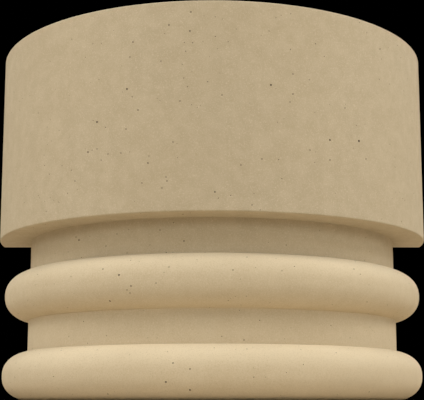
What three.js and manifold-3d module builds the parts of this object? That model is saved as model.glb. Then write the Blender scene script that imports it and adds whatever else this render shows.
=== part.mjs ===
// Half-round column base of cast stone, one solid block.
// From the bottom up: a lower bead, a plain neck, an upper bead, a second neck, and a tall plain
// drum that overhangs the neck. It is flat on top, underneath and behind, where it meets the wall.
// Units are millimetres and +Z is up. The origin is the middle of the underside of the bounding
// box, so the round front faces -Y and the flat back stands at y = half the drum's radius.

import * as THREE from 'three';
import { mergeVertices } from 'three/addons/utils/BufferGeometryUtils.js';
import Module from 'manifold-3d';

// Driving dimensions

const DRUM_RADIUS = 200;
const DRUM_HEIGHT = 172;
const ARRIS_ROUND = 1.2; // easing of the drum's two outer edges

// How far each neck, and the edge of the foot's flat bed, is set in from the drum's face
const UPPER_NECK_INSET = 28.7;
const LOWER_NECK_INSET = 27.8;
const FOOT_INSET = 27.8;

const UPPER_NECK_HEIGHT = 28.5;
const LOWER_NECK_HEIGHT = 28;

// How far each bead stands out from the neck above it
const UPPER_BEAD_PROUD = 22.7;
const LOWER_BEAD_PROUD = 22.5;

// A bead's section is one side of a slightly squared oval, whose middle is buried behind the neck
const BEAD_HALF_HEIGHT = 23;
const BEAD_BURIED = 9.4;
const BEAD_SQUARENESS = 2.25; // 2 is a plain ellipse

// Fineness of the facets
const ROUND_SEGMENTS = 128; // all the way round, before the back is cut away
const BEAD_SEGMENTS = 16;
const ARRIS_SEGMENTS = 3;

const CUTTER_MARGIN = 20;

// Profile of the front, as radius and height

/** Angle on a bead's oval, from its widest point, at which it is a given share of its reach. */
function beadAngle(share) {
  return Math.acos(Math.max(share, 0) ** (BEAD_SQUARENESS / 2));
}

/** How far above or below its middle a bead's surface is at that angle. */
function beadRise(angle) {
  return BEAD_HALF_HEIGHT * Math.sin(angle) ** (2 / BEAD_SQUARENESS);
}

/** Points up one bead, from its bottom on the radius below it to the neck above it. */
function bead(proud, radiusBelow, neckRadius, bottom) {
  const reach = proud + BEAD_BURIED;
  const middleRadius = neckRadius - BEAD_BURIED;
  const angleBelow = beadAngle((radiusBelow - middleRadius) / reach);
  const angleAbove = beadAngle(BEAD_BURIED / reach);
  const middle = bottom + beadRise(angleBelow);
  const points = [];
  for (let step = 0; step <= BEAD_SEGMENTS; step += 1) {
    const angle = -angleBelow + ((angleBelow + angleAbove) * step) / BEAD_SEGMENTS;
    const out = reach * Math.cos(angle) ** (2 / BEAD_SQUARENESS);
    const up = Math.sign(angle) * beadRise(Math.abs(angle));
    points.push(new THREE.Vector2(middleRadius + out, middle + up));
  }
  return points;
}

/** Points round one outer edge of the drum, from one direction to the next, in quarter turns. */
function arris(radius, height, startTurn) {
  const points = [];
  for (let step = 0; step <= ARRIS_SEGMENTS; step += 1) {
    const angle = ((startTurn + step / ARRIS_SEGMENTS) * Math.PI) / 2;
    const across = radius + ARRIS_ROUND * Math.cos(angle);
    points.push(new THREE.Vector2(across, height + ARRIS_ROUND * Math.sin(angle)));
  }
  return points;
}

/** The whole profile, from the axis at the foot, out and up, and back to the axis on top. */
function frontProfile() {
  const footRadius = DRUM_RADIUS - FOOT_INSET;
  const lowerNeckRadius = DRUM_RADIUS - LOWER_NECK_INSET;
  const upperNeckRadius = DRUM_RADIUS - UPPER_NECK_INSET;

  const lowerBead = bead(LOWER_BEAD_PROUD, footRadius, lowerNeckRadius, 0);
  const lowerNeckTop = lowerBead.at(-1).y + LOWER_NECK_HEIGHT;
  const upperBead = bead(UPPER_BEAD_PROUD, lowerNeckRadius, upperNeckRadius, lowerNeckTop);
  const drumBottom = upperBead.at(-1).y + UPPER_NECK_HEIGHT;
  const drumTop = drumBottom + DRUM_HEIGHT;
  const roundedRadius = DRUM_RADIUS - ARRIS_ROUND;
  return [
    new THREE.Vector2(0, 0),
    ...lowerBead,
    ...upperBead,
    new THREE.Vector2(upperNeckRadius, drumBottom),
    ...arris(roundedRadius, drumBottom + ARRIS_ROUND, -1),
    ...arris(roundedRadius, drumTop - ARRIS_ROUND, 0),
    new THREE.Vector2(0, drumTop),
  ];
}

// Solids

const wasm = await Module();
wasm.setup();

/** A closed geometry as a solid that can be cut. */
function solidFrom(geometry) {
  const bare = geometry.index ? geometry.toNonIndexed() : geometry.clone();
  bare.deleteAttribute('normal');
  bare.deleteAttribute('uv');
  const merged = mergeVertices(bare);
  return new wasm.Manifold(new wasm.Mesh({
    numProp: 3,
    vertProperties: new Float32Array(merged.attributes.position.array),
    triVerts: new Uint32Array(merged.index.array),
  }));
}

/** A solid as a flat-shaded geometry. */
function geometryFrom(solid) {
  const mesh = solid.getMesh();
  const geometry = new THREE.BufferGeometry();
  geometry.setAttribute('position', new THREE.BufferAttribute(new Float32Array(mesh.vertProperties), 3));
  geometry.setIndex(new THREE.BufferAttribute(new Uint32Array(mesh.triVerts), 1));
  const faceted = geometry.toNonIndexed();
  faceted.computeVertexNormals();
  return faceted;
}

/** The profile turned right round, then cut off flat behind, in the plane of the axis. */
function halfRound(profile) {
  const turned = new THREE.LatheGeometry(profile, ROUND_SEGMENTS);
  turned.rotateX(Math.PI / 2);

  const height = profile.at(-1).y;
  const width = 2 * (Math.max(...profile.map((point) => point.x)) + CUTTER_MARGIN);
  const behind = new THREE.BoxGeometry(width, width, height + 2 * CUTTER_MARGIN);
  behind.translate(0, width / 2, height / 2);

  return solidFrom(turned).subtract(solidFrom(behind));
}

// The object

const stone = new THREE.MeshStandardMaterial({ color: 0xb8a684, roughness: 0.85, metalness: 0 });
stone.name = 'cast_stone';

const columnBase = new THREE.Mesh(geometryFrom(halfRound(frontProfile())), stone);
columnBase.name = 'column_base';
columnBase.position.y = DRUM_RADIUS / 2;

const part = new THREE.Group();
part.add(columnBase);

export default part;
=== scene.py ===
import math
from typing import NamedTuple

import bmesh
import bpy
from bpy.props import FloatProperty, FloatVectorProperty, IntProperty, PointerProperty
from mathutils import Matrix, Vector
from mathutils.bvhtree import BVHTree


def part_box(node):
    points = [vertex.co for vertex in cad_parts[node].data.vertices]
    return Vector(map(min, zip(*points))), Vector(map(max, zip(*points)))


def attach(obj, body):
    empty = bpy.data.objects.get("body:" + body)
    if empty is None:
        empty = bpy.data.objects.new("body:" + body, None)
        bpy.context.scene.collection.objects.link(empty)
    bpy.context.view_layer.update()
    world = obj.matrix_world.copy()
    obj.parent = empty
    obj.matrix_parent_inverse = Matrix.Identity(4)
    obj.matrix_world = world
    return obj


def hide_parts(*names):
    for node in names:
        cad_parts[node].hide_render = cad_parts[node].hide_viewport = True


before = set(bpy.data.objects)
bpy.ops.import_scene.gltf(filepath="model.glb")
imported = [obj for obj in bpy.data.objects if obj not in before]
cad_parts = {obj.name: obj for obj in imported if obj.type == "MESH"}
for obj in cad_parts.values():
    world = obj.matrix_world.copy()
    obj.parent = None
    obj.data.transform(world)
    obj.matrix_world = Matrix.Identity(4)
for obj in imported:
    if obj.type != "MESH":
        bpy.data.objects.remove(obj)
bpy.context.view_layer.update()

bl_info = {
    "name": "Half-round column base",
    "version": (1, 0, 0),
    "blender": (4, 5, 0),
    "location": "3D View > Sidebar > Column Base",
    "description": "Turns a half-round cast stone column base and sets up a plain studio for it",
    "category": "Object",
}

# The frame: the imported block's place and size, which the looks are fitted to

NODE = "column_base"
BODY = "root"
BLOCK_LOW, BLOCK_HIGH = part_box(NODE)
BLOCK_HEIGHT = BLOCK_HIGH.z - BLOCK_LOW.z
BLOCK_RADIUS = (BLOCK_HIGH.x - BLOCK_LOW.x) / 2
BACK_PLANE = BLOCK_HIGH.y

MM = 0.001

# The photograph's frame, and the camera that fits its outline, in the photograph's pixels
FRAME_WIDTH_PIXELS = 424
FRAME_HEIGHT_PIXELS = 400
PRINCIPAL_ROW_PIXELS = 225.6
FOCAL_PIXELS = 1064.1

# Fineness of the turned mesh
TURN_STEPS = 192
EASE_STEPS = 4
BEAD_STEPS = 30
ARRIS_STEPS = 4
NECK_STEPS = 6
DRUM_STEPS = 26
BED_STEPS = 3
MERGE_DISTANCE = 0.004 * MM
SHARP_ANGLE = math.radians(32)

# Half a step, so that whole numbers held as fractions fall on the right side
HALF_STEP = 0.5

# Where the painted shade up the height deepens from the mouldings to the drum, and how deep the back's
# even painted shade goes
DRUM_SHADE_HEIGHTS = (124 * MM, 143 * MM)
BACK_SHADE_DEPTH = 12 * MM


# Sizes and colours that a user would change

class BlockSizes(bpy.types.PropertyGroup):
    """Sizes of the block's profile"""

    drum_radius: FloatProperty(
        name="Drum radius", description="Radius of the drum and of the whole block",
        default=BLOCK_RADIUS, unit="LENGTH", subtype="DISTANCE")
    height: FloatProperty(
        name="Height", description="Height of the whole block; the drum takes what the rest leaves",
        default=BLOCK_HEIGHT, unit="LENGTH", subtype="DISTANCE")
    upper_neck_inset: FloatProperty(
        name="Upper neck inset", description="How far the upper neck is set in from the drum's face",
        default=28.7 * MM, unit="LENGTH", subtype="DISTANCE")
    lower_neck_inset: FloatProperty(
        name="Lower neck inset", description="How far the lower neck is set in from the drum's face",
        default=27.8 * MM, unit="LENGTH", subtype="DISTANCE")
    foot_inset: FloatProperty(
        name="Foot inset", description="How far the flat foot is set in from the drum's face",
        default=27.8 * MM, unit="LENGTH", subtype="DISTANCE")
    upper_neck_height: FloatProperty(
        name="Upper neck height", description="Height of the neck under the drum",
        default=28.5 * MM, unit="LENGTH", subtype="DISTANCE")
    lower_neck_height: FloatProperty(
        name="Lower neck height", description="Height of the neck between the beads",
        default=28 * MM, unit="LENGTH", subtype="DISTANCE")
    upper_bead_proud: FloatProperty(
        name="Upper bead stands out", description="How far the upper bead stands out from its neck",
        default=22.7 * MM, unit="LENGTH", subtype="DISTANCE")
    lower_bead_proud: FloatProperty(
        name="Lower bead stands out", description="How far the lower bead stands out from its neck",
        default=22.5 * MM, unit="LENGTH", subtype="DISTANCE")
    bead_half_height: FloatProperty(
        name="Bead half height", description="Half the height of the oval that a bead is part of",
        default=23 * MM, unit="LENGTH", subtype="DISTANCE")
    bead_buried: FloatProperty(
        name="Bead buried", description="How far behind the neck the middle of that oval lies",
        default=9.4 * MM, unit="LENGTH", subtype="DISTANCE")
    bead_squareness: FloatProperty(
        name="Bead squareness", description="Power of the oval's curve; 2 is a plain ellipse",
        default=2.25, min=1.5, max=4.0)
    arris_round: FloatProperty(
        name="Drum arris", description="Easing of the drum's two round edges",
        default=1.2 * MM, unit="LENGTH", subtype="DISTANCE")
    back_ease: FloatProperty(
        name="Back arris", description="Easing of the edges round the flat back",
        default=0.9 * MM, unit="LENGTH", subtype="DISTANCE")
    waviness: FloatProperty(
        name="Waviness", description="Slight unevenness that the mould leaves in the faces",
        default=0.07 * MM, unit="LENGTH", subtype="DISTANCE")


class PitSizes(bpy.types.PropertyGroup):
    """Sizes and number of the air pits in the stone's face"""

    density: FloatProperty(
        name="Pits a square metre", description="Most pits scattered on a square metre",
        default=3200.0, min=0.0)
    clearance: FloatProperty(
        name="Clearance", description="Least distance between two pits",
        default=2.6 * MM, unit="LENGTH", subtype="DISTANCE")
    smallest: FloatProperty(
        name="Smallest pit", description="Width of the smallest pit",
        default=0.5 * MM, unit="LENGTH", subtype="DISTANCE")
    largest: FloatProperty(
        name="Largest pit", description="Width of the largest pit",
        default=1.9 * MM, unit="LENGTH", subtype="DISTANCE")
    largest_in_front: FloatProperty(
        name="Largest scattered in front",
        description="Width of the largest scattered pit on the photographed side, beside the clear pits",
        default=0.85 * MM, unit="LENGTH", subtype="DISTANCE")
    rarity: FloatProperty(
        name="Rarity of large pits", description="How fast the number of pits falls as they get wider",
        default=3.0, min=1.0)
    depth: FloatProperty(
        name="Depth", description="Depth of a pit as a share of its width",
        default=1.0, min=0.1, subtype="FACTOR")
    seed: IntProperty(
        name="Seed", description="Changes where the scattered pits fall", default=7)


class StoneColours(bpy.types.PropertyGroup):
    """Colours of the cast stone, of its painted top light, its painted shade up its height and its painted
    shade in the pits
    """

    stone: FloatVectorProperty(
        name="Stone", description="Main colour of the mouldings' stone",
        default=(0.62, 0.505, 0.33), size=3, min=0, max=1, subtype="COLOR")
    light_grain: FloatVectorProperty(
        name="Light grain", description="Colour of the paler sand grains",
        default=(0.74, 0.63, 0.45), size=3, min=0, max=1, subtype="COLOR")
    dark_grain: FloatVectorProperty(
        name="Dark grain", description="Colour of the darker sand grains",
        default=(0.46, 0.355, 0.21), size=3, min=0, max=1, subtype="COLOR")
    # Painted top light: the stone turns towards this paler colour as a face looks up
    painted_top_light: FloatVectorProperty(
        name="Painted top light", description="Colour of the stone where a face looks straight up",
        default=(0.78, 0.655, 0.445), size=3, min=0, max=1, subtype="COLOR")
    # Painted shade: the upper mouldings and the drum darker than the foot, for light that falls more on
    # the lower mouldings
    upper_painted_shade: FloatProperty(
        name="Upper painted shade", description="Tone of the upper mouldings as a share of the foot's tone",
        default=0.92, min=0.0, max=1.0, subtype="FACTOR")
    drum_painted_shade: FloatProperty(
        name="Drum painted shade", description="Tone of the drum's stone as a share of the foot's tone",
        default=0.76, min=0.0, max=1.0, subtype="FACTOR")
    # Painted shade inside the pits: a dark colour on the walls that the cutters leave
    pit: FloatVectorProperty(
        name="Pit", description="Colour of the dusty walls inside the pits",
        default=(0.09, 0.065, 0.038), size=3, min=0, max=1, subtype="COLOR")


class StudioSettings(bpy.types.PropertyGroup):
    """Floor, lights and camera"""

    floor: FloatVectorProperty(
        name="Floor", description="Colour of the plain pale floor",
        default=(0.68, 0.6, 0.48), size=3, min=0, max=1, subtype="COLOR")
    brightness: FloatProperty(
        name="Brightness", description="Strength of all the lights together",
        default=1.0, min=0.0)
    view_distance: FloatProperty(
        name="View distance", description="Distance from the camera to the block's axis",
        default=1013.5 * MM, unit="LENGTH", subtype="DISTANCE")
    view_height: FloatProperty(
        name="View height", description="Height of the camera above the foot",
        default=0.5 * MM, unit="LENGTH", subtype="DISTANCE")
    view_pitch: FloatProperty(
        name="View pitch", description="How far the camera looks up",
        default=math.radians(9.328), unit="ROTATION", subtype="ANGLE")


# Patterns and finishes

class Pattern(NamedTuple):
    """A noise: its waves a metre, how many finer layers it has, and how strong those are."""

    scale: float
    detail: float
    roughness: float = 0.5


class Finish(NamedTuple):
    """A plain matt surface in two tones of one colour, and where the pattern reaches each tone."""

    pattern: Pattern
    reach: tuple
    tones: tuple
    roughness: float
    specular: float


# The cutter's lumps are to its own width instead of to a metre
MOULD_WAVES = Pattern(28.0, 1.0, 0.4)
PIT_CLUSTERS = Pattern(14.0, 2.0)
CUTTER_LUMPS = Pattern(2.3, 1.0)
SAND = Pattern(1000.0, 3.0, 0.7)
CLOUDS = Pattern(11.0, 3.0)
MOTTLING = Pattern(90.0, 3.0, 0.6)
TOOTH = Pattern(1500.0, 4.0, 0.7)
PIT_SHADE_MOTTLE = Pattern(1800.0, 2.0)
FLOOR_CLOUDS = Pattern(3.0, 3.0)
NOISE_MIDDLE = 0.5

# Where on its scale from 0 to 1 each pattern starts to show and shows fully
CLUSTER_REACH = (0.38, 0.62)
LIGHT_GRAIN_REACH = (0.52, 0.74)
DARK_GRAIN_REACH = (0.48, 0.28)
CLOUD_REACH = (0.35, 0.65)
MOTTLING_REACH = (0.4, 0.7)
MATT_REACH = (0.3, 0.7)

# The most of its colour that each pattern shows
GRAIN_SHARE = 0.55
CLOUD_SHARE = 0.14
MOTTLING_SHARE = 0.16

STONE_ROUGHNESS = (0.82, 0.96)
STONE_DIFFUSE_ROUGHNESS = 0.3
STONE_SPECULAR = 0.25
TOOTH_STRENGTH = 0.35
TOOTH_DEPTH = 0.12 * MM

# Painted shade inside the pits, in two tones
PIT_SHADE_FINISH = Finish(
    pattern=PIT_SHADE_MOTTLE, reach=(0.3, 0.7), tones=(0.7, 1.4), roughness=0.95, specular=0.15)
PALE_FLOOR = Finish(
    pattern=FLOOR_CLOUDS, reach=(0.0, 1.0), tones=(0.97, 1.03), roughness=0.9, specular=0.1)


# Node trees

def add_node(tree, kind, inputs=None, **settings):
    """Adds a node, makes its settings, then fills its inputs with values or links."""
    node = tree.nodes.new(kind)
    for name, value in settings.items():
        setattr(node, name, value)
    for key, value in (inputs or {}).items():
        if isinstance(value, bpy.types.NodeSocket):
            tree.links.new(value, node.inputs[key])
        else:
            node.inputs[key].default_value = value
    return node


def maths(tree, operation, *values):
    """A Math node of those values or links, and its result."""
    return add_node(tree, "ShaderNodeMath", dict(enumerate(values)), operation=operation).outputs[0]


def vector_of(tree, x, y, z):
    """A vector put together from three values or links."""
    return add_node(tree, "ShaderNodeCombineXYZ", {"X": x, "Y": y, "Z": z}).outputs[0]


def parts_of(tree, vector):
    """The X, Y and Z of a vector."""
    return add_node(tree, "ShaderNodeSeparateXYZ", {0: vector}).outputs


def scaled(tree, vector, factor):
    """A vector or a colour, each part times a factor."""
    inputs = {0: vector, "Scale": factor}
    return add_node(tree, "ShaderNodeVectorMath", inputs, operation="SCALE").outputs[0]


def noise(tree, pattern, place=None):
    """A noise's outputs, from 0 to 1 round a half; with no place, a geometry tree takes each point's."""
    inputs = {"Scale": pattern.scale, "Detail": pattern.detail, "Roughness": pattern.roughness}
    if place is not None:
        inputs["Vector"] = place
    return add_node(tree, "ShaderNodeTexNoise", inputs).outputs


def spread(tree, value, reach, result, curve="LINEAR"):
    """A value moved from one range to another, and held inside it."""
    inputs = {
        "Value": value, "From Min": reach[0], "From Max": reach[1],
        "To Min": result[0], "To Max": result[1],
    }
    return add_node(tree, "ShaderNodeMapRange", inputs, interpolation_type=curve).outputs["Result"]


def choose(tree, condition, if_true, if_false):
    """One of two values, by a condition."""
    inputs = {"Switch": condition, "True": if_true, "False": if_false}
    return add_node(tree, "GeometryNodeSwitch", inputs, input_type="FLOAT").outputs[0]


def compare(tree, operation, first, second):
    """Whether two numbers compare as the operation says."""
    inputs = {"A": first, "B": second}
    return add_node(tree, "FunctionNodeCompare", inputs, operation=operation).outputs[0]


def named(tree, name, kind):
    """An attribute by its name."""
    return add_node(tree, "GeometryNodeInputNamedAttribute", {"Name": name}, data_type=kind).outputs[0]


def store(tree, geometry, name, value, kind, domain):
    """Geometry with a value stored on it under a name."""
    inputs = {"Geometry": geometry, "Name": name, "Value": value}
    node = add_node(tree, "GeometryNodeStoreNamedAttribute", inputs, data_type=kind, domain=domain)
    return node.outputs[0]


def moved(tree, geometry, **where):
    """Geometry whose points are moved to a Position or by an Offset."""
    return add_node(tree, "GeometryNodeSetPosition", {"Geometry": geometry, **where}).outputs[0]


def realized(tree, geometry):
    """Geometry whose instances are made real."""
    return add_node(tree, "GeometryNodeRealizeInstances", {"Geometry": geometry}).outputs[0]


def with_material(tree, geometry, material, chosen=True):
    """Geometry with a material on its chosen faces."""
    inputs = {"Geometry": geometry, "Selection": chosen, "Material": material}
    return add_node(tree, "GeometryNodeSetMaterial", inputs).outputs[0]


def geometry_tree(name, sockets):
    """A geometry tree with those named inputs, and its group input and output nodes."""
    tree = bpy.data.node_groups.new(name, "GeometryNodeTree")
    tree.interface.new_socket("Geometry", in_out="INPUT", socket_type="NodeSocketGeometry")
    for socket, kind in sockets.items():
        tree.interface.new_socket(socket, in_out="INPUT", socket_type=kind)
    tree.interface.new_socket("Geometry", in_out="OUTPUT", socket_type="NodeSocketGeometry")
    return tree, tree.nodes.new("NodeGroupInput").outputs, tree.nodes.new("NodeGroupOutput").inputs


def add_geometry_modifier(piece, tree, values):
    """Puts a tree on a piece, with its inputs set by their identifiers."""
    modifier = piece.modifiers.new(tree.name, "NODES")
    modifier.node_group = tree
    for item in tree.interface.items_tree:
        if item.item_type == "SOCKET" and item.in_out == "INPUT" and item.name in values:
            modifier[item.identifier] = values[item.name]


# Profile of the block, as radius and height

def bead_angle(share, squareness):
    """Angle on a bead's oval, from its widest point, at which it is a share of its reach."""
    return math.acos(max(share, 0.0) ** (squareness / 2))


def bead_points(sizes, proud, radius_below, neck_radius, bottom):
    """Points up one bead, from its bottom on the radius below it to the neck above it."""
    power = 2 / sizes.bead_squareness
    reach = proud + sizes.bead_buried
    middle_radius = neck_radius - sizes.bead_buried
    below = bead_angle((radius_below - middle_radius) / reach, sizes.bead_squareness)
    above = bead_angle(sizes.bead_buried / reach, sizes.bead_squareness)
    middle = bottom + sizes.bead_half_height * math.sin(below) ** power
    points = []
    for step in range(BEAD_STEPS + 1):
        angle = -below + (below + above) * step / BEAD_STEPS
        out = reach * math.cos(angle) ** power
        up = math.copysign(sizes.bead_half_height * abs(math.sin(angle)) ** power, angle)
        points.append((middle_radius + out, middle + up))
    return points


def arris_points(radius, height, ease, start_turn):
    """Points round one outer edge of the drum, in a quarter turn."""
    points = []
    for step in range(ARRIS_STEPS + 1):
        angle = (start_turn + step / ARRIS_STEPS) * math.pi / 2
        points.append((radius + ease * math.cos(angle), height + ease * math.sin(angle)))
    return points


def between(start, end, steps):
    """Evenly spaced points between two points, without either."""
    shares = [step / steps for step in range(1, steps)]
    return [tuple(a + (b - a) * share for a, b in zip(start, end)) for share in shares]


def block_profile(sizes):
    """The whole profile, from the axis at the foot, out and up, and back to the axis on top."""
    foot = sizes.drum_radius - sizes.foot_inset
    lower_neck = sizes.drum_radius - sizes.lower_neck_inset
    upper_neck = sizes.drum_radius - sizes.upper_neck_inset
    eased = sizes.drum_radius - sizes.arris_round

    lower_bead = bead_points(sizes, sizes.lower_bead_proud, foot, lower_neck, 0.0)
    lower_neck_top = (lower_neck, lower_bead[-1][1] + sizes.lower_neck_height)
    upper_bead = bead_points(
        sizes, sizes.upper_bead_proud, lower_neck, upper_neck, lower_neck_top[1])
    drum_bottom = upper_bead[-1][1] + sizes.upper_neck_height
    lower_arris = arris_points(eased, drum_bottom + sizes.arris_round, sizes.arris_round, -1)
    upper_arris = arris_points(eased, sizes.height - sizes.arris_round, sizes.arris_round, 0)
    underside = (upper_neck, drum_bottom)
    return [
        (0.0, 0.0),
        *between((0.0, 0.0), lower_bead[0], BED_STEPS),
        *lower_bead,
        *between(lower_bead[-1], lower_neck_top, NECK_STEPS),
        *upper_bead,
        *between(upper_bead[-1], underside, NECK_STEPS),
        underside,
        *between(underside, lower_arris[0], BED_STEPS),
        *lower_arris,
        *between(lower_arris[-1], upper_arris[0], DRUM_STEPS),
        *upper_arris,
        *between(upper_arris[-1], (0.0, sizes.height), BED_STEPS),
        (0.0, sizes.height),
    ]


def outward(profile):
    """Each point's way out of the block, stretched at a corner so that an inset keeps its width."""
    edges = []
    for (r0, z0), (r1, z1) in zip(profile, profile[1:]):
        length = math.hypot(r1 - r0, z1 - z0)
        edges.append(Vector(((z1 - z0) / length, (r0 - r1) / length)))
    ways = [edges[0]]
    for before, after in zip(edges, edges[1:]):
        ways.append((before + after) / (1 + before.dot(after)))
    ways.append(edges[-1])
    return ways


def profile_object(profile):
    """The profile as a line of edges, which carries each point's way out."""
    mesh = bpy.data.meshes.new("stone_block")
    points = [(radius, 0.0, height) for radius, height in profile]
    mesh.from_pydata(points, [(i, i + 1) for i in range(len(points) - 1)], [])
    way = mesh.attributes.new("way_out", "FLOAT_VECTOR", "POINT")
    flat = [number for out in outward(profile) for number in (out.x, 0.0, out.y)]
    way.data.foreach_set("vector", flat)
    piece = bpy.data.objects.new("stone_block", mesh)
    bpy.context.scene.collection.objects.link(piece)
    return piece


# The turned block

def profile_sample(tree, profile, index):
    """Radius, height and way out of the profile point with that index."""
    place = add_node(tree, "GeometryNodeInputPosition").outputs[0]
    found = []
    for value in (place, named(tree, "way_out", "FLOAT_VECTOR")):
        inputs = {"Geometry": profile, "Value": value, "Index": index}
        sample = add_node(tree, "GeometryNodeSampleIndex", inputs, data_type="FLOAT_VECTOR")
        found.append(parts_of(tree, sample.outputs[0]))
    return found[0]["X"], found[0]["Z"], found[1]["X"], found[1]["Z"]


def turned_front(tree, source, points):
    """The round front as a grid: a row for each step of the turn, and a column for each point."""
    ease = source["Back arris"]
    steps = source["Steps"]
    rows = maths(tree, "ADD", steps, 2 * EASE_STEPS + 1)
    grid = add_node(tree, "GeometryNodeMeshGrid", {"Vertices X": rows, "Vertices Y": points})

    index = add_node(tree, "GeometryNodeInputIndex").outputs[0]
    row = maths(tree, "FLOOR", maths(tree, "DIVIDE", maths(tree, "ADD", index, HALF_STEP), points))
    column = maths(tree, "SUBTRACT", index, maths(tree, "MULTIPLY", row, points))
    radius, height, way_x, way_z = profile_sample(tree, source["Geometry"], column)

    # Rows at either end run round the eased edge of the flat back, from 0 to a quarter turn
    last_row = maths(tree, "SUBTRACT", rows, 1)
    from_end = maths(tree, "MINIMUM", row, maths(tree, "SUBTRACT", last_row, row))
    round_edge = maths(tree, "MULTIPLY", from_end, math.pi / 2 / EASE_STEPS)
    in_edge = compare(tree, "LESS_THAN", from_end, EASE_STEPS - HALF_STEP)
    short_of_full = maths(tree, "SUBTRACT", 1.0, maths(tree, "SINE", round_edge))
    inset = choose(tree, in_edge, maths(tree, "MULTIPLY", ease, short_of_full), 0.0)
    gone_forward = maths(tree, "SUBTRACT", 1.0, maths(tree, "COSINE", round_edge))
    edge_depth = maths(tree, "MULTIPLY", ease, gone_forward)

    # Rows between them turn about the axis, starting and ending where the eased edges stop
    share = maths(tree, "DIVIDE", ease, maths(tree, "MAXIMUM", radius, MERGE_DISTANCE))
    start = maths(tree, "ARCSINE", maths(tree, "MINIMUM", share, 1.0))
    turned = maths(tree, "DIVIDE", maths(tree, "SUBTRACT", row, EASE_STEPS), steps)
    span = maths(tree, "SUBTRACT", math.pi, maths(tree, "MULTIPLY", start, 2.0))
    angle = maths(tree, "ADD", start, maths(tree, "MULTIPLY", turned, span))
    depth = maths(tree, "MAXIMUM", maths(tree, "MULTIPLY", radius, maths(tree, "SINE", angle)), ease)
    depth = choose(tree, in_edge, edge_depth, depth)
    across = maths(tree, "MULTIPLY", radius, maths(tree, "COSINE", angle))

    # In the eased edge the block is as wide as the circle is at that depth
    depth_squared = maths(tree, "MULTIPLY", depth, depth)
    square = maths(tree, "SUBTRACT", maths(tree, "MULTIPLY", radius, radius), depth_squared)
    half_width = maths(tree, "SQRT", maths(tree, "MAXIMUM", square, 0.0))
    middle_row = maths(tree, "DIVIDE", last_row, 2.0)
    side = maths(tree, "SIGN", maths(tree, "SUBTRACT", middle_row, row))
    edge_width = maths(tree, "SUBTRACT", half_width, maths(tree, "MULTIPLY", way_x, inset))
    across = choose(tree, in_edge, maths(tree, "MULTIPLY", side, edge_width), across)

    leftward = maths(tree, "MULTIPLY", across, -1.0)
    forward = maths(tree, "SUBTRACT", source["Back"], depth)
    lifted = maths(tree, "SUBTRACT", height, maths(tree, "MULTIPLY", way_z, inset))
    return moved(tree, grid.outputs[0], Position=vector_of(tree, leftward, forward, lifted))


def flat_back(tree, source, points):
    """The flat back as one face, whose outline follows the profile up one side and down the other."""
    corners = maths(tree, "SUBTRACT", maths(tree, "MULTIPLY", points, 2), 2)
    face = add_node(tree, "GeometryNodeMeshCircle", {"Vertices": corners}, fill_type="NGON")
    index = add_node(tree, "GeometryNodeInputIndex").outputs[0]
    going_up = compare(tree, "LESS_THAN", index, points)
    column = choose(tree, going_up, index, maths(tree, "SUBTRACT", corners, index))
    side = choose(tree, going_up, -1.0, 1.0)
    radius, height, way_x, way_z = profile_sample(tree, source["Geometry"], column)
    inset = source["Back arris"]
    width = maths(tree, "SUBTRACT", radius, maths(tree, "MULTIPLY", way_x, inset))
    lifted = maths(tree, "SUBTRACT", height, maths(tree, "MULTIPLY", way_z, inset))
    place = vector_of(tree, maths(tree, "MULTIPLY", side, width), source["Back"], lifted)
    return moved(tree, face.outputs[0], Position=place)


def turned_block_tree():
    """Turns the profile half round the axis, closes the back, and lets the faces waver a little."""
    tree, source, result = geometry_tree("Turned block", {
        "Back": "NodeSocketFloat",
        "Back arris": "NodeSocketFloat",
        "Steps": "NodeSocketInt",
        "Waviness": "NodeSocketFloat",
        "Stone": "NodeSocketMaterial",
    })
    counts = add_node(tree, "GeometryNodeAttributeDomainSize", {"Geometry": source["Geometry"]})
    points = counts.outputs["Point Count"]
    joined = add_node(tree, "GeometryNodeJoinGeometry")
    for shape in (flat_back(tree, source, points), turned_front(tree, source, points)):
        tree.links.new(shape, joined.inputs[0])
    inputs = {"Geometry": joined.outputs[0], "Distance": MERGE_DISTANCE}
    merged = add_node(tree, "GeometryNodeMergeByDistance", inputs).outputs[0]

    # The wavering is slow, and far slighter than any edge
    waves = maths(tree, "SUBTRACT", noise(tree, MOULD_WAVES)["Fac"], NOISE_MIDDLE)
    swing = maths(tree, "MULTIPLY", waves, source["Waviness"])
    normal = add_node(tree, "GeometryNodeInputNormal").outputs[0]
    wavering = moved(tree, merged, Offset=scaled(tree, normal, swing))
    tree.links.new(with_material(tree, realized(tree, wavering), source["Stone"]), result[0])
    return tree


# Pits

class ClearPit(NamedTuple):
    """A pit that the photograph shows clearly, by its pixel in the 424 by 400 frame."""

    column: int
    row: int
    width: float


FINE_PIT = 1.0 * MM
MIDDLE_PIT = 1.2 * MM
WIDE_PIT = 1.5 * MM
WIDEST_PIT = 2.1 * MM

# Share of the greatest density of scattered pits, between clusters and inside them
CROWDING = (0.2, 1.0)

# A normal's Y below which a face is on the photographed side
FRONT_FACING = -0.2

# Least random number that a pit's width comes from, because 0 would make it endless
LEAST_CHANCE = 0.0001

# Steps on from the seed, one for each use of random numbers
WIDTH_DRAW = 0
STRETCH_DRAW = 1
SPIN_DRAW = 2

# The cutter is a ball one unit across, made lumpy, and stretched along the face
CUTTER_RADIUS = 0.5
CUTTER_SUBDIVISIONS = 2
CUTTER_LUMPINESS = 0.45
CUTTER_STRETCH = (0.8, 1.3)
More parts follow.
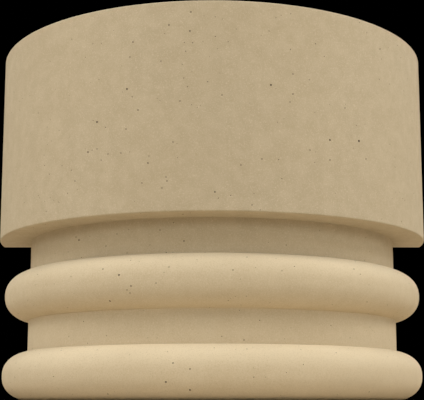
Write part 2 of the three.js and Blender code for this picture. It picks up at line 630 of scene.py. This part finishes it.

# Read off ruled enlargements, to the nearest pixel
CLEAR_PITS = (
    # Drum, left third
    ClearPit(133, 42, MIDDLE_PIT), ClearPit(130, 57, FINE_PIT), ClearPit(127, 89, WIDE_PIT),
    ClearPit(138, 110, MIDDLE_PIT), ClearPit(97, 122, WIDE_PIT), ClearPit(126, 129, FINE_PIT),
    ClearPit(97, 149, FINE_PIT), ClearPit(88, 152, WIDE_PIT), ClearPit(121, 153, FINE_PIT),
    ClearPit(108, 154, FINE_PIT), ClearPit(75, 181, FINE_PIT),
    # Drum, middle third
    ClearPit(191, 12, MIDDLE_PIT), ClearPit(169, 25, MIDDLE_PIT), ClearPit(190, 31, MIDDLE_PIT),
    ClearPit(161, 61, FINE_PIT), ClearPit(271, 85, WIDE_PIT), ClearPit(222, 95, FINE_PIT),
    ClearPit(180, 101, FINE_PIT), ClearPit(173, 142, FINE_PIT), ClearPit(262, 159, FINE_PIT),
    ClearPit(148, 163, MIDDLE_PIT), ClearPit(241, 165, FINE_PIT), ClearPit(166, 177, FINE_PIT),
    ClearPit(167, 181, FINE_PIT), ClearPit(142, 183, FINE_PIT), ClearPit(162, 188, FINE_PIT),
    ClearPit(215, 192, MIDDLE_PIT), ClearPit(252, 205, FINE_PIT),
    # Drum, right third
    ClearPit(380, 49, MIDDLE_PIT), ClearPit(293, 74, FINE_PIT), ClearPit(293, 94, MIDDLE_PIT),
    ClearPit(290, 102, FINE_PIT), ClearPit(345, 108, FINE_PIT), ClearPit(330, 140, WIDE_PIT),
    ClearPit(359, 141, WIDEST_PIT), ClearPit(310, 150, FINE_PIT), ClearPit(366, 159, MIDDLE_PIT),
    ClearPit(330, 160, MIDDLE_PIT),
    # Upper neck and bead
    ClearPit(160, 230, FINE_PIT), ClearPit(117, 234, FINE_PIT), ClearPit(76, 237, MIDDLE_PIT),
    ClearPit(79, 240, WIDE_PIT), ClearPit(184, 241, MIDDLE_PIT), ClearPit(106, 246, FINE_PIT),
    ClearPit(247, 257, FINE_PIT), ClearPit(169, 267, FINE_PIT), ClearPit(103, 269, MIDDLE_PIT),
    ClearPit(354, 269, MIDDLE_PIT), ClearPit(233, 270, FINE_PIT), ClearPit(119, 275, WIDE_PIT),
    ClearPit(156, 283, FINE_PIT), ClearPit(131, 286, MIDDLE_PIT), ClearPit(127, 290, FINE_PIT),
    ClearPit(130, 293, FINE_PIT), ClearPit(110, 301, WIDE_PIT), ClearPit(367, 302, FINE_PIT),
    # Lower neck and bead
    ClearPit(244, 340, FINE_PIT), ClearPit(247, 349, FINE_PIT), ClearPit(173, 363, MIDDLE_PIT),
    ClearPit(190, 369, MIDDLE_PIT), ClearPit(166, 382, WIDE_PIT), ClearPit(190, 390, WIDE_PIT),
    ClearPit(369, 392, MIDDLE_PIT), ClearPit(108, 394, MIDDLE_PIT),
)


def clear_pit_points(piece, studio):
    """A point for each clear pit, where the camera's line through its pixel meets the stone."""
    stone = BVHTree.FromObject(piece, bpy.context.evaluated_depsgraph_get())
    camera = Vector((0.0, BACK_PLANE - studio.view_distance, studio.view_height))
    ahead = Vector((0.0, math.cos(studio.view_pitch), math.sin(studio.view_pitch)))
    up = Vector((0.0, -ahead.z, ahead.y))
    places = []
    normals = []
    widths = []
    for pit in CLEAR_PITS:
        across = Vector((pit.column - FRAME_WIDTH_PIXELS / 2, 0.0, 0.0))
        line = across + (PRINCIPAL_ROW_PIXELS - pit.row) * up + FOCAL_PIXELS * ahead
        place, normal, _, _ = stone.ray_cast(camera, line.normalized())
        if place is None:
            raise RuntimeError(f"the clear pit at {pit.column}, {pit.row} misses the stone")
        places.append(place)
        normals.extend(normal)
        widths.append(pit.width)
    mesh = bpy.data.meshes.new("clear_pits")
    mesh.from_pydata(places, [], [])
    mesh.attributes.new("pit_normal", "FLOAT_VECTOR", "POINT").data.foreach_set("vector", normals)
    mesh.attributes.new("pit_width", "FLOAT", "POINT").data.foreach_set("value", widths)
    points = bpy.data.objects.new("clear_pits", mesh)
    bpy.context.scene.collection.objects.link(points)
    return points


def pit_cutter(tree):
    """A small lumpy ball, one unit across."""
    inputs = {"Radius": CUTTER_RADIUS, "Subdivisions": CUTTER_SUBDIVISIONS}
    ball = add_node(tree, "GeometryNodeMeshIcoSphere", inputs).outputs[0]
    inputs = {0: noise(tree, CUTTER_LUMPS)["Color"], 1: (NOISE_MIDDLE, NOISE_MIDDLE, NOISE_MIDDLE)}
    lumps = add_node(tree, "ShaderNodeVectorMath", inputs, operation="SUBTRACT").outputs[0]
    return moved(tree, ball, Offset=scaled(tree, lumps, CUTTER_LUMPINESS))


def random_number(tree, seed, step, low=0.0, high=1.0):
    """A random number for each point, some steps on from the seed; sockets 2 and 3 are its ends."""
    inputs = {2: low, 3: high, "Seed": maths(tree, "ADD", seed, step)}
    return add_node(tree, "FunctionNodeRandomValue", inputs, data_type="FLOAT").outputs[1]


def scattered_pits(tree, source, chosen):
    """Points in loose clusters over every face, clear of the chosen ones, with a random width each."""
    crowding = spread(tree, noise(tree, PIT_CLUSTERS)["Fac"], CLUSTER_REACH, CROWDING)
    scatter = add_node(
        tree, "GeometryNodeDistributePointsOnFaces",
        {"Mesh": source["Geometry"], "Distance Min": source["Clearance"],
         "Density Max": source["Density"], "Density Factor": crowding, "Seed": source["Seed"]},
        distribute_method="POISSON")
    normal = scatter.outputs["Normal"]

    # The number of pits falls by a power of their width
    chance = maths(tree, "MAXIMUM", random_number(tree, source["Seed"], WIDTH_DRAW), LEAST_CHANCE)
    rise = maths(tree, "POWER", chance, maths(tree, "DIVIDE", -1.0, source["Rarity"]))
    width = maths(tree, "MULTIPLY", source["Smallest"], rise)
    in_front = compare(tree, "LESS_THAN", parts_of(tree, normal)["Y"], FRONT_FACING)
    largest = choose(tree, in_front, source["Largest in front"], source["Largest"])
    width = maths(tree, "MINIMUM", width, largest)

    with_normal = store(tree, scatter.outputs["Points"], "pit_normal", normal, "FLOAT_VECTOR", "POINT")
    with_width = store(tree, with_normal, "pit_width", width, "FLOAT", "POINT")
    distance = add_node(
        tree, "GeometryNodeProximity", {0: chosen}, target_element="POINTS").outputs["Distance"]
    crowded = compare(tree, "LESS_THAN", distance, source["Clearance"])
    return add_node(
        tree, "GeometryNodeDeleteGeometry", {"Geometry": with_width, "Selection": crowded},
        domain="POINT").outputs[0]


def pitted_tree():
    """Cuts the clear pits and scattered smaller ones out of the stone, and marks their walls."""
    tree, source, result = geometry_tree("Pitted face", {
        "Clear pits": "NodeSocketObject",
        "Density": "NodeSocketFloat",
        "Clearance": "NodeSocketFloat",
        "Smallest": "NodeSocketFloat",
        "Largest": "NodeSocketFloat",
        "Largest in front": "NodeSocketFloat",
        "Rarity": "NodeSocketFloat",
        "Depth": "NodeSocketFloat",
        "Seed": "NodeSocketInt",
        "Stone": "NodeSocketMaterial",
        "Pit": "NodeSocketMaterial",
    })
    clear = add_node(tree, "GeometryNodeObjectInfo", {"Object": source["Clear pits"]}).outputs["Geometry"]
    chosen = add_node(tree, "GeometryNodeMeshToPoints", {"Mesh": clear}).outputs[0]
    points = add_node(tree, "GeometryNodeJoinGeometry")
    for kind in (scattered_pits(tree, source, chosen), chosen):
        tree.links.new(kind, points.inputs[0])

    # Half of a cutter is outside the face, so it is twice as deep as its pit
    width = named(tree, "pit_width", "FLOAT")
    stretch = random_number(tree, source["Seed"], STRETCH_DRAW, *CUTTER_STRETCH)
    pit_depth = maths(tree, "MULTIPLY", width, source["Depth"])
    size = vector_of(
        tree, maths(tree, "MULTIPLY", width, stretch), maths(tree, "DIVIDE", width, stretch),
        maths(tree, "MULTIPLY", pit_depth, 2.0))
    outward_turn = add_node(
        tree, "FunctionNodeAlignRotationToVector",
        {"Vector": named(tree, "pit_normal", "FLOAT_VECTOR")}, axis="Z")
    spin_angle = random_number(tree, source["Seed"], SPIN_DRAW, 0.0, math.tau)
    spin = add_node(
        tree, "FunctionNodeAxisAngleToRotation", {"Axis": (0.0, 0.0, 1.0), "Angle": spin_angle})
    turn = add_node(
        tree, "FunctionNodeRotateRotation",
        {"Rotation": outward_turn.outputs[0], "Rotate By": spin.outputs[0]}, rotation_space="LOCAL")
    placed = add_node(
        tree, "GeometryNodeInstanceOnPoints",
        {"Points": points.outputs[0], "Instance": pit_cutter(tree), "Rotation": turn.outputs[0],
         "Scale": size})
    marked = store(tree, realized(tree, placed.outputs[0]), "pit", True, "BOOLEAN", "FACE")
    cut = add_node(
        tree, "GeometryNodeMeshBoolean", {"Mesh 1": source["Geometry"], "Mesh 2": marked},
        operation="DIFFERENCE", solver="MANIFOLD")
    smooth = add_node(tree, "GeometryNodeSetShadeSmooth", {"Geometry": cut.outputs[0]})
    angle = add_node(tree, "GeometryNodeInputMeshEdgeAngle").outputs[0]
    is_sharp = compare(tree, "GREATER_THAN", angle, SHARP_ANGLE)
    sharp = store(tree, smooth.outputs[0], "sharp_edge", is_sharp, "BOOLEAN", "EDGE")
    stone = with_material(tree, realized(tree, sharp), source["Stone"])
    # The pit walls take the dark material of painted shade
    pitted = with_material(tree, stone, source["Pit"], named(tree, "pit", "BOOLEAN"))
    tree.links.new(pitted, result[0])
    return tree


# Materials

def mix_colours(tree, share, first, second):
    """Two colours or links mixed, with the share of the second; sockets 6 and 7 are the colours."""
    return add_node(tree, "ShaderNodeMix", {0: share, 6: first, 7: second}, data_type="RGBA").outputs[2]


def mix_numbers(tree, share, first, second):
    """Two numbers or links mixed, with the share of the second; sockets 2 and 3 are the numbers."""
    return add_node(tree, "ShaderNodeMix", {0: share, 2: first, 3: second}, data_type="FLOAT").outputs[0]


def opaque(colour, tone=1.0):
    """A colour with its alpha, made darker or paler by a tone."""
    return (*[tone * part for part in colour], 1.0)


def painted_height_shade(tree, place, colours):
    """Painted shade up the height: the colour darkens a little up the mouldings, then more on the drum,
    for light that falls more on the foot; even on the flat back.
    """
    parts = parts_of(tree, place)
    mouldings = spread(tree, parts["Z"], (0.0, DRUM_SHADE_HEIGHTS[0]), (1.0, colours.upper_painted_shade))
    on_drum = spread(tree, parts["Z"], DRUM_SHADE_HEIGHTS, (0.0, 1.0), "SMOOTHSTEP")
    tone = mix_numbers(tree, on_drum, mouldings, colours.drum_painted_shade)
    to_back = spread(tree, parts["Y"], (BACK_PLANE - BACK_SHADE_DEPTH, BACK_PLANE), (0.0, 1.0))
    return mix_numbers(tree, to_back, tone, (1.0 + colours.drum_painted_shade) / 2)


def stone_material(colours):
    """Buff cast stone: sand grains of three tones, mottled, with painted top light where it looks up and
    painted shade up its height, with a fine tooth.
    """
    material = bpy.data.materials.new("buff_cast_stone")
    material.use_nodes = True
    tree = material.node_tree
    shader = tree.nodes["Principled BSDF"]
    coordinates = add_node(tree, "ShaderNodeTexCoord").outputs
    place = coordinates["Object"]

    # Main colour, paler by how far the face looks up as painted top light, then darkened up its height as
    # painted shade
    upward = maths(tree, "MAXIMUM", parts_of(tree, coordinates["Normal"])["Z"], 0.0)
    base = mix_colours(tree, upward, opaque(colours.stone), opaque(colours.painted_top_light))
    tone = scaled(tree, base, painted_height_shade(tree, place, colours))

    # Sand grains, slow clouds and mottling
    grain = noise(tree, SAND, place)["Fac"]
    cloud = noise(tree, CLOUDS, place)["Fac"]
    mottling = noise(tree, MOTTLING, place)["Fac"]
    for pattern, reach, share, colour in (
            (grain, LIGHT_GRAIN_REACH, GRAIN_SHARE, colours.light_grain),
            (grain, DARK_GRAIN_REACH, GRAIN_SHARE, colours.dark_grain),
            (cloud, CLOUD_REACH, CLOUD_SHARE, colours.dark_grain),
            (mottling, MOTTLING_REACH, MOTTLING_SHARE, colours.light_grain)):
        tone = mix_colours(tree, spread(tree, pattern, reach, (0.0, share)), tone, opaque(colour))
    tree.links.new(tone, shader.inputs["Base Color"])

    shader.inputs["Specular IOR Level"].default_value = STONE_SPECULAR
    shader.inputs["Diffuse Roughness"].default_value = STONE_DIFFUSE_ROUGHNESS
    tree.links.new(spread(tree, grain, MATT_REACH, STONE_ROUGHNESS), shader.inputs["Roughness"])
    relief = noise(tree, TOOTH, place)["Fac"]
    inputs = {"Strength": TOOTH_STRENGTH, "Distance": TOOTH_DEPTH, "Height": relief}
    tree.links.new(add_node(tree, "ShaderNodeBump", inputs).outputs[0], shader.inputs["Normal"])
    return material


def two_tone_material(name, colour, finish):
    """A plain matt material in two tones of one colour."""
    material = bpy.data.materials.new(name)
    material.use_nodes = True
    tree = material.node_tree
    shader = tree.nodes["Principled BSDF"]
    place = add_node(tree, "ShaderNodeTexCoord").outputs["Object"]
    ramp = add_node(tree, "ShaderNodeValToRGB", {"Fac": noise(tree, finish.pattern, place)["Fac"]})
    for element, position, tone in zip(ramp.color_ramp.elements, finish.reach, finish.tones):
        element.position = position
        element.color = opaque(colour, tone)
    tree.links.new(ramp.outputs["Color"], shader.inputs["Base Color"])
    shader.inputs["Roughness"].default_value = finish.roughness
    shader.inputs["Specular IOR Level"].default_value = finish.specular
    return material


def pit_shade_material(colours):
    """Painted shade on the walls inside the pits: a dark colour in two tones."""
    return two_tone_material("pit_wall", colours.pit, PIT_SHADE_FINISH)


def floor_material(colour):
    """A plain pale matt floor with a faint cloudiness."""
    return two_tone_material("pale_floor", colour, PALE_FLOOR)


# Pieces

def plain_mesh(piece):
    """Turns a piece's modifiers into a plain mesh, and stops if it isn't one closed body facing out."""
    shaped = piece.evaluated_get(bpy.context.evaluated_depsgraph_get())
    mesh = bpy.data.meshes.new_from_object(shaped)
    piece.modifiers.clear()
    line = piece.data
    piece.data = mesh
    bpy.data.meshes.remove(line)
    mesh.name = piece.name
    test = bmesh.new()
    test.from_mesh(mesh)
    open_edges = sum(1 for edge in test.edges if not edge.is_manifold)
    volume = test.calc_volume(signed=True)
    test.free()
    if open_edges or volume <= 0:
        raise RuntimeError(f"{piece.name} has {open_edges} open edges and a volume of {volume:.6f}")


class COLUMNBASE_OT_stone_block(bpy.types.Operator):
    """Turns the half-round block of cast stone and cuts the air pits in its faces"""

    bl_idname = "column_base.stone_block"
    bl_label = "Stone Block"

    def execute(self, context):
        sizes = context.scene.column_base_sizes
        pits = context.scene.column_base_pits
        colours = context.scene.column_base_colours
        stone = stone_material(colours)
        pit = pit_shade_material(colours)
        piece = profile_object(block_profile(sizes))
        add_geometry_modifier(piece, turned_block_tree(), {
            "Back": BACK_PLANE,
            "Back arris": sizes.back_ease,
            "Steps": TURN_STEPS,
            "Waviness": sizes.waviness,
            "Stone": stone,
        })
        clear_pits = clear_pit_points(piece, context.scene.column_base_studio)
        add_geometry_modifier(piece, pitted_tree(), {
            "Clear pits": clear_pits,
            "Density": pits.density,
            "Clearance": pits.clearance,
            "Smallest": pits.smallest,
            "Largest": pits.largest,
            "Largest in front": pits.largest_in_front,
            "Rarity": pits.rarity,
            "Depth": pits.depth,
            "Seed": pits.seed,
            "Stone": stone,
            "Pit": pit,
        })
        weighted = piece.modifiers.new("Even shading", "WEIGHTED_NORMAL")
        weighted.keep_sharp = True
        plain_mesh(piece)
        bpy.data.meshes.remove(clear_pits.data)
        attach(piece, BODY)
        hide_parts(NODE)
        return {"FINISHED"}


# The stage

SENSOR_WIDTH_MM = 36.0

FLOOR_SIDE = 7.0
FLOOR_GAP = 0.1 * MM

# The lights stand on a dome round the middle of the block
DOME_MIDDLE = Vector((0.0, -0.02, 0.16))
DOME_RADIUS = 2.2
SOFTBOX_WIDTH = 0.9
SOFTBOX_HEIGHT = 0.8
FILL_HEIGHT = 0.5
WHITE = (1.0, 1.0, 1.0)
COOL = (0.86, 0.95, 1.0)
WARM = (1.0, 0.92, 0.85)


class Softbox(NamedTuple):
    """One soft light: degrees up, degrees round from the front with right positive, and watts."""

    name: str
    elevation: float
    azimuth: float
    height: float
    power: float
    colour: tuple


def mirrored(box):
    """The same softbox on the right and on the left."""
    right = box._replace(name=f"right_{box.name}")
    left = box._replace(name=f"left_{box.name}", azimuth=-box.azimuth)
    return right, left


# Set in whole watts, by looking at renders and at how bright they were beside the photograph
SOFTBOXES = (
    Softbox("front_fill", 10, 0, FILL_HEIGHT, 9, COOL),
    Softbox("high_softbox", 60, 0, SOFTBOX_HEIGHT, 12, WARM),
    Softbox("back_softbox", 40, 180, SOFTBOX_HEIGHT, 12, WHITE),
    Softbox("right_edge_softbox", 30, 115, SOFTBOX_HEIGHT, 5, WHITE),
    *mirrored(Softbox("front_softbox", 40, 35, SOFTBOX_HEIGHT, 11, WHITE)),
    *mirrored(Softbox("side_softbox", 35, 90, SOFTBOX_HEIGHT, 16, WHITE)),
    *mirrored(Softbox("side_fill", 12, 75, FILL_HEIGHT, 6, WHITE)),
)


def lay_camera(studio):
    """The camera at the photograph's viewing angle, low in front of the block and looking up."""
    data = bpy.data.cameras.new("camera")
    data.sensor_width = SENSOR_WIDTH_MM
    data.lens = SENSOR_WIDTH_MM * FOCAL_PIXELS / FRAME_WIDTH_PIXELS
    data.shift_y = (PRINCIPAL_ROW_PIXELS - FRAME_HEIGHT_PIXELS / 2) / FRAME_WIDTH_PIXELS
    camera = bpy.data.objects.new("camera", data)
    camera.location = (0.0, BACK_PLANE - studio.view_distance, studio.view_height)
    camera.rotation_euler = (math.pi / 2 + studio.view_pitch, 0.0, 0.0)
    bpy.context.scene.collection.objects.link(camera)
    bpy.context.scene.camera = camera


def lay_floor(studio):
    """One plain pale floor under the block."""
    half = FLOOR_SIDE / 2
    mesh = bpy.data.meshes.new("floor")
    corners = [(-half, -half), (half, -half), (half, half), (-half, half)]
    mesh.from_pydata([(x, y, BLOCK_LOW.z - FLOOR_GAP) for x, y in corners], [], [(0, 1, 2, 3)])
    mesh.materials.append(floor_material(studio.floor))
    floor = bpy.data.objects.new("floor", mesh)
    bpy.context.scene.collection.objects.link(floor)


def lay_lights(studio):
    """The soft lights on their dome, aimed at its middle, which the camera doesn't see."""
    for box in SOFTBOXES:
        data = bpy.data.lights.new(box.name, "AREA")
        data.shape = "RECTANGLE"
        data.size = SOFTBOX_WIDTH
        data.size_y = box.height
        data.energy = box.power * studio.brightness
        data.color = box.colour
        light = bpy.data.objects.new(box.name, data)
        elevation = math.radians(box.elevation)
        azimuth = math.radians(box.azimuth)
        out = Vector((
            math.cos(elevation) * math.sin(azimuth),
            -math.cos(elevation) * math.cos(azimuth),
            math.sin(elevation),
        ))
        light.location = DOME_MIDDLE + DOME_RADIUS * out
        light.rotation_euler = out.to_track_quat("Z", "Y").to_euler()
        light.visible_camera = False
        bpy.context.scene.collection.objects.link(light)


class COLUMNBASE_OT_studio(bpy.types.Operator):
    """Lays the camera, the pale floor and the soft lights round the block"""

    bl_idname = "column_base.studio"
    bl_label = "Studio"

    def execute(self, context):
        studio = context.scene.column_base_studio
        lay_camera(studio)
        lay_floor(studio)
        lay_lights(studio)
        scene = context.scene
        scene.world = bpy.data.worlds.new("dark_surround")
        scene.world.color = (0.0, 0.0, 0.0)
        scene.view_settings.view_transform = "Standard"
        return {"FINISHED"}


class COLUMNBASE_PT_sidebar(bpy.types.Panel):
    """Lists the block, the studio and their settings"""

    bl_idname = "COLUMNBASE_PT_sidebar"
    bl_label = "Column Base"
    bl_space_type = "VIEW_3D"
    bl_region_type = "UI"
    bl_category = "Column Base"

    def draw(self, context):
        for owner, title in GROUPS.items():
            box = self.layout.box()
            box.label(text=title)
            settings = getattr(context.scene, owner)
            for name in settings.bl_rna.properties.keys():
                if name not in {"rna_type", "name"}:
                    box.prop(settings, name)
        for operator in OPERATORS:
            self.layout.operator(operator.bl_idname)


# Registration

GROUPS = {
    "column_base_sizes": "Profile",
    "column_base_pits": "Pits",
    "column_base_colours": "Colours",
    "column_base_studio": "Studio",
}
GROUP_CLASSES = (BlockSizes, PitSizes, StoneColours, StudioSettings)
OPERATORS = (COLUMNBASE_OT_studio, COLUMNBASE_OT_stone_block)
CLASSES = (*GROUP_CLASSES, *OPERATORS, COLUMNBASE_PT_sidebar)


def register():
    for each in CLASSES:
        bpy.utils.register_class(each)
    for owner, group in zip(GROUPS, GROUP_CLASSES):
        setattr(bpy.types.Scene, owner, PointerProperty(type=group))


def unregister():
    for owner in GROUPS:
        delattr(bpy.types.Scene, owner)
    for each in reversed(CLASSES):
        bpy.utils.unregister_class(each)


def main():
    """Makes the studio and the block."""
    register()
    bpy.ops.column_base.studio()
    bpy.ops.column_base.stone_block()
    bpy.context.view_layer.update()


if __name__ == "__main__":
    main()
